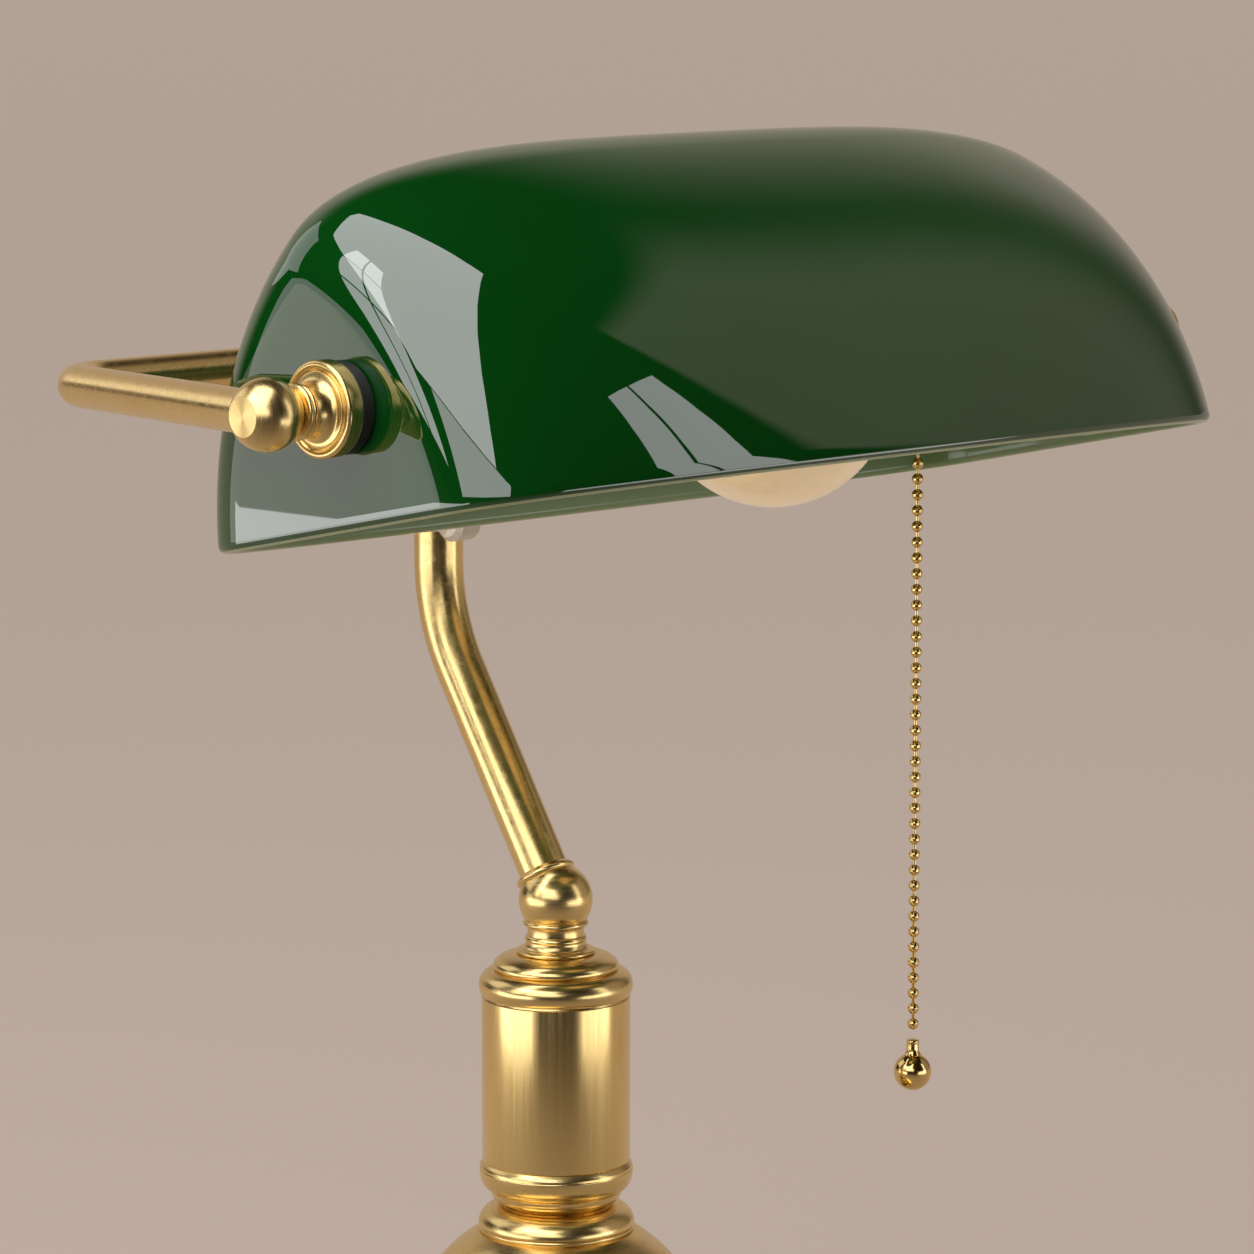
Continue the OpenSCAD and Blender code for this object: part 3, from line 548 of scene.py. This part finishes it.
def shade_place(p):
    """From the arch's own frame to the lamp: set back from the pivot, then tilted front edge up."""
    y, z = p[1] + SET_BACK_MM, p[2] + RIM_MM - RIM_DROP_MM
    c, s = math.cos(-REST_TILT), math.sin(-REST_TILT)
    return (p[0], PIVOT_Y_MM + y * c - z * s, PIVOT_Z_MM + y * s + z * c)


# The inner skin takes the opal that carries painted shade
LOOK_GREEN, LOOK_SHADED_OPAL, LOOK_RIM = 0, 1, 2


def build_shade():
    """Outer and inner skins, closed at both ends and joined round the rim."""
    lip = 1.9
    outer = skin(CROWN_MM, SHADE_L_MM, RIM_MM - lip)
    inner = skin(CROWN_MM - GLASS_MM, SHADE_L_MM - 2 * GLASS_MM, RIM_MM - lip)
    rows, m = len(outer), len(outer[0])
    points = [p for row in outer for p in row] + [p for row in inner for p in row]
    faces, looks = [], []
    base = rows * m
    for i in range(rows - 1):
        for k in range(m - 1):
            o = i * m + k
            faces.append((o, o + 1, o + m + 1, o + m))
            looks.append(LOOK_GREEN)
            o += base
            faces.append((o, o + m, o + m + 1, o + 1))
            looks.append(LOOK_SHADED_OPAL)
    for start, turned_round, look in ((0, True, LOOK_GREEN), (base - m, False, LOOK_GREEN),
                                      (base, False, LOOK_SHADED_OPAL), (2 * base - m, True, LOOK_SHADED_OPAL)):
        cap = list(range(start, start + m))
        faces.append(tuple(cap[::-1] if turned_round else cap))
        looks.append(look)
    # The rim joins matching outer and inner points with a half-round edge
    rings = []
    back_edge = [i * m for i in range(rows)]
    front_edge = [i * m + m - 1 for i in reversed(range(rows))]
    steps = 8
    for first in back_edge + front_edge:
        last = base + first
        o, q = np.array(points[first]), np.array(points[last])
        ids = [first]
        for s in range(1, steps):
            a = math.pi * s / steps
            p = (o + q) / 2 + (o - q) / 2 * math.cos(a) - np.array([0, 0, lip]) * math.sin(a)
            ids.append(len(points))
            points.append(tuple(p))
        ids.append(last)
        rings.append(ids)
    for a, b in zip(rings, rings[1:] + rings[:1]):
        for s in range(steps):
            faces.append((a[s], b[s], b[s + 1], a[s + 1]))
            looks.append(LOOK_GREEN if s < 2 else LOOK_RIM if s < 5 else LOOK_SHADED_OPAL)
    placed = [shade_place(p) for p in points]
    piece = add_mesh("blown_shade", placed, faces, "shade", ["glass_shade"],
                  [M_GLASS, M_SHADED_OPAL, M_RIM], 60)
    for poly, look in zip(piece.data.polygons, looks):
        poly.material_index = look


build_shade()


# ---------------------------------------------------------------- bulb
BULB_R_MM, BULB_MIDDLE_MM = 31, 10
NECK_R_MM, NECK_END_MM, NECK_CURVE_MM = 14.2, 56, 40.6
BULB_WALL_MM = 0.8


def bulb_outline(t):
    """The bulb's side from its round end to its neck, moved inward by t."""
    round_end = [math.radians(0.5 + 129.5 * i / 60) for i in range(61)]
    neck = [math.radians(40 * (1 - i / 20)) for i in range(1, 21)]
    r, curve = BULB_R_MM - t, NECK_CURVE_MM + t
    side = NECK_R_MM + NECK_CURVE_MM
    return ([(r * math.sin(a), BULB_MIDDLE_MM - r * math.cos(a)) for a in round_end]
            + [(side - curve * math.cos(b), NECK_END_MM - curve * math.sin(b)) for b in neck])


bulb_points, bulb_faces = lathe(bulb_outline(0) + [(13, 60), (12.3, 60.4), (12.3, 66), (11.5, 66), (11.5, 60)]
                                + bulb_outline(BULB_WALL_MM)[::-1])
add_mesh("opal_bulb", [(z, PIVOT_Y_MM + y, HOLDER_Z_MM + x) for x, y, z in bulb_points], bulb_faces,
         "stand", ["bulb_glass"], [M_BULB])

# ---------------------------------------------------------------- chain
BEAD_MM = 1.6
PITCH_MM = 4.35
TOP_BEAD_MM = (bead_low.z + bead_high.z) / 2 / MM


def bead_string(heights, link_top):
    """Beads pressed from sheet, each with a slight waist at its seam, on a thin dumb-bell link."""
    points, faces = [], []
    for h in heights:
        ring = [(0.42, h - 1.55)] + [((BEAD_MM - 0.05 * math.exp(-(a / 5) ** 2)) * math.cos(math.radians(a)),
                                      h + BEAD_MM * math.sin(math.radians(a))) for a in range(-72, 73, 6)]
        ring += [(0.42, h + 1.55)]
        p, f = lathe(ring + [(0.2, h + 1.5), (0.2, h - 1.5)], 28)
        faces += [tuple(i + len(points) for i in face) for face in f]
        points += p
    link = [(0.45, heights[-1] - 0.5), (0.45, link_top), (0.01, link_top), (0.01, heights[-1] - 0.5)]
    p, f = lathe(link, 16)
    faces += [tuple(i + len(points) for i in face) for face in f]
    points += p
    return points, faces


def hang(points, z0=0):
    """Points made about Z, moved to the chain's line and up by z0."""
    return [(x + CHAIN_X_MM, y + CHAIN_Y_MM, z + z0) for x, y, z in points]


drop = [TOP_BEAD_MM - PITCH_MM * (2 + i) for i in range(41)]
for name, heights, top, body, node in (
        ("bead_first", [TOP_BEAD_MM], TOP_BEAD_MM + 0.5, "chain_head", "chain_top_bead"),
        ("bead_second", [TOP_BEAD_MM - PITCH_MM], TOP_BEAD_MM - 1.9, "chain_knuckle", "chain_second_bead"),
        ("bead_string", drop, TOP_BEAD_MM - PITCH_MM - 1.9, "chain_drop", "pull_chain")):
    chain_points, chain_faces = bead_string(heights, top)
    add_mesh(name, hang(chain_points), chain_faces, body, [node], [M_CHAIN])

BALL_Z_MM = 111
BALL_R_MM = 5.25
knob = (arc(0, 0, BALL_R_MM, -89.5, 66, 48) + [(2.3, 4.9), (2.0, 5.4), (1.75, 5.9), (1.75, 8.4)]
        + arc(1.25, 8.6, 0.5, 0, 80, 6) + [(0.5, 9.3), (0.01, 9.3)])
knob_points, knob_faces = lathe(knob, 96)
add_mesh("chain_knob", hang(knob_points, BALL_Z_MM), knob_faces, "chain_drop", ["chain_ball"],
         [M_CHAIN])

# ---------------------------------------------------------------- room, lights and camera
CAMERA = Vector((-0.9149, -0.9542, 0.4377))
HEADING = math.radians(45.37)
DIP = math.radians(8.48)
SENSOR_MM = 36
LENS_MM = 143.23

# The floor is dark in itself and looks pale by painted light: it glows a little, dim in front of the lamp
# and strongest behind it, an emission that stands in for studio light on a sweep.
floor_mat, floor_tree, floor_shader = new_material("floor_painted_glow", (0.11, 0.09, 0.075), 0.75)
bump(floor_tree, floor_shader, noise(floor_tree, 30, detail=4), 0.05, 0.001)
floor_place = floor_tree.nodes.new("ShaderNodeTexCoord")
glow_behind_lamp = floor_tree.nodes.new("ShaderNodeVectorMath")
glow_behind_lamp.operation = "DOT_PRODUCT"
glow_behind_lamp.inputs[1].default_value = (math.cos(HEADING), math.sin(HEADING), 0)
floor_tree.links.new(floor_place.outputs["Object"], glow_behind_lamp.inputs[0])
# Painted light: the floor's glow colour, with a strength that rises from in front of the lamp to behind it
floor_shader.inputs["Emission Color"].default_value = (0.405, 0.328, 0.274, 1)
floor_tree.links.new(spread(floor_tree, glow_behind_lamp.outputs["Value"], 0.05, 1.0, -0.5, 0.2),
                   floor_shader.inputs["Emission Strength"])
bpy.ops.mesh.primitive_plane_add(size=60, location=(0, 0, 0))
floor = bpy.context.object
floor.name = "floor"
floor.data.materials.append(floor_mat)

cam_data = bpy.data.cameras.new("camera")
cam_data.lens = LENS_MM
cam_data.sensor_width = SENSOR_MM
camera = bpy.data.objects.new("camera", cam_data)
bpy.context.scene.collection.objects.link(camera)
look = Vector((math.cos(HEADING) * math.cos(DIP), math.sin(HEADING) * math.cos(DIP), -math.sin(DIP)))
camera.location = CAMERA
camera.rotation_euler = look.to_track_quat("-Z", "Y").to_euler()
bpy.context.scene.camera = camera

DAYLIGHT = (1, 0.98, 1)
LAMP_MIDDLE = Vector((0, -0.03, 0.26))
TO_CAMERA = math.atan2(-math.sin(HEADING), -math.cos(HEADING))


def spot(azimuth, out, z):
    """A place around the lamp; azimuth is measured to the right of the camera, seen from the lamp."""
    a = TO_CAMERA + math.radians(azimuth)
    return Vector((out * math.cos(a), out * math.sin(a), z))


def panel(name, foot, head, width, glow, shift=0.0):
    """A soft rectangular light from the middle of its lower edge to the middle of its upper edge.

    Each is (azimuth, distance, height). It faces the lamp, glow is its radiance, and shift moves it sideways.
    """
    low, high = spot(*foot), spot(*head)
    up = (high - low).normalized()
    across = (LAMP_MIDDLE - (low + high) / 2).cross(up).normalized()
    back = across.cross(up)
    data = bpy.data.lights.new(name, "AREA")
    data.shape = "RECTANGLE"
    data.size = width
    data.size_y = (high - low).length
    data.energy = math.pi * data.size * data.size_y * glow
    data.color = DAYLIGHT
    light = bpy.data.objects.new(name, data)
    middle = Matrix.Translation((low + high) / 2 + across * shift)
    light.matrix_world = middle @ Matrix((across, up, back)).transposed().to_4x4()
    bpy.context.scene.collection.objects.link(light)
    light.visible_camera = False


# A tall window at the left with glazing bars, a large soft window in front and overhead, a slim one at the
# right, and low side lights for the column
for row, (z0, z1, glow) in enumerate(((0.385, 0.80, 2.4), (0.825, 1.28, 2.7), (1.305, 1.85, 2.9))):
    for column in (-1, 1):
        panel("window_pane_%d_%d" % (row, column), (-62, 1.0, z0), (-62, 1.0, z1), 0.13, glow, 0.072 * column)
panel("window_foot", (-62, 0.72, 0.01), (-62, 0.72, 0.20), 0.8, 2.3)
panel("window_side", (-90, 1.1, 0.03), (-90, 1.1, 0.40), 0.5, 0.75)
panel("front_window_low", (-19, 1.05, 0.38), (-19, 1.05, 0.75), 1.05, 2.0)
panel("front_window_high", (-22, 1.05, 0.76), (-22, -0.05, 1.75), 1.0, 2.8, -0.12)
panel("back_left_window", (-112, 1.1, 0.48), (-112, 1.0, 1.25), 0.7, 0.9)
panel("right_foot", (64, 0.75, 0.01), (64, 0.75, 0.19), 0.72, 1.9)
for column in (-1, 1):
    panel("slim_window_%d" % column, (79, 3.0, 0.02), (79, 3.0, 2.8), 0.33, 1.7, 0.18 * column)


# ---------------------------------------------------------------- the room beyond the lights
bpy.context.scene.view_settings.view_transform = "Standard"
world = bpy.data.worlds.new("room")
bpy.context.scene.world = world
world.use_nodes = True
room_tree = world.node_tree
background = room_tree.nodes["Background"]
heading = room_tree.nodes.new("ShaderNodeVectorRotate")
heading.rotation_type = "Z_AXIS"
heading.inputs["Angle"].default_value = -HEADING
room_tree.links.new(room_tree.nodes.new("ShaderNodeTexCoord").outputs["Generated"], heading.inputs["Vector"])
axes = room_tree.nodes.new("ShaderNodeSeparateXYZ")
room_tree.links.new(heading.outputs["Vector"], axes.inputs["Vector"])


def combine(operation, a, b):
    """The result of a Math node on two values, each a socket or a number."""
    node = room_tree.nodes.new("ShaderNodeMath")
    node.operation = operation
    for socket, value in zip(node.inputs, (a, b)):
        if isinstance(value, float):
            socket.default_value = value
        else:
            room_tree.links.new(value, socket)
    return node.outputs[0]


def ramp(value, start, end):
    """0 before start and 1 after end, or the other way round when end is the smaller."""
    low, high = (0, 1) if start < end else (1, 0)
    node = room_tree.nodes.new("ShaderNodeMapRange")
    node.interpolation_type = "SMOOTHSTEP"
    node.inputs["From Min"].default_value = min(start, end)
    node.inputs["From Max"].default_value = max(start, end)
    node.inputs["To Min"].default_value = low
    node.inputs["To Max"].default_value = high
    room_tree.links.new(value, node.inputs["Value"])
    return node.outputs["Result"]


# Bearing is 0 straight to the right, a quarter turn behind the lamp and a half turn straight to the left.
# The sweep stands behind the lamp, and a dimmer wall at the right.
bearing = combine("ARCTAN2", axes.outputs["X"], combine("MULTIPLY", axes.outputs["Y"], -1.0))
upward = axes.outputs["Z"]
below_top = ramp(upward, 0.80, 0.74)
wall_side = combine("MULTIPLY", ramp(bearing, 0.03, 0.06), ramp(bearing, 1.0, 0.45))
wall_glow = combine("MULTIPLY", wall_side, below_top)
sweep_side = combine("MULTIPLY", ramp(bearing, 0.75, 1.15), ramp(bearing, 2.60, 2.20))
sweep_glow = combine("MULTIPLY", sweep_side, ramp(upward, 0.78, 0.42))
amount = combine("ADD", sweep_glow, combine("MULTIPLY", wall_glow, 0.62))
room = room_tree.nodes.new("ShaderNodeMix")
room.data_type = "RGBA"
room.inputs[MIX_A].default_value = (0.012, 0.009, 0.006, 1)
room.inputs[MIX_B].default_value = (0.48, 0.40, 0.34, 1)
room_tree.links.new(amount, room.inputs[MIX_FACTOR])
room_tree.links.new(room.outputs[MIX_COLOUR], background.inputs["Color"])
background.inputs["Strength"].default_value = 1.0
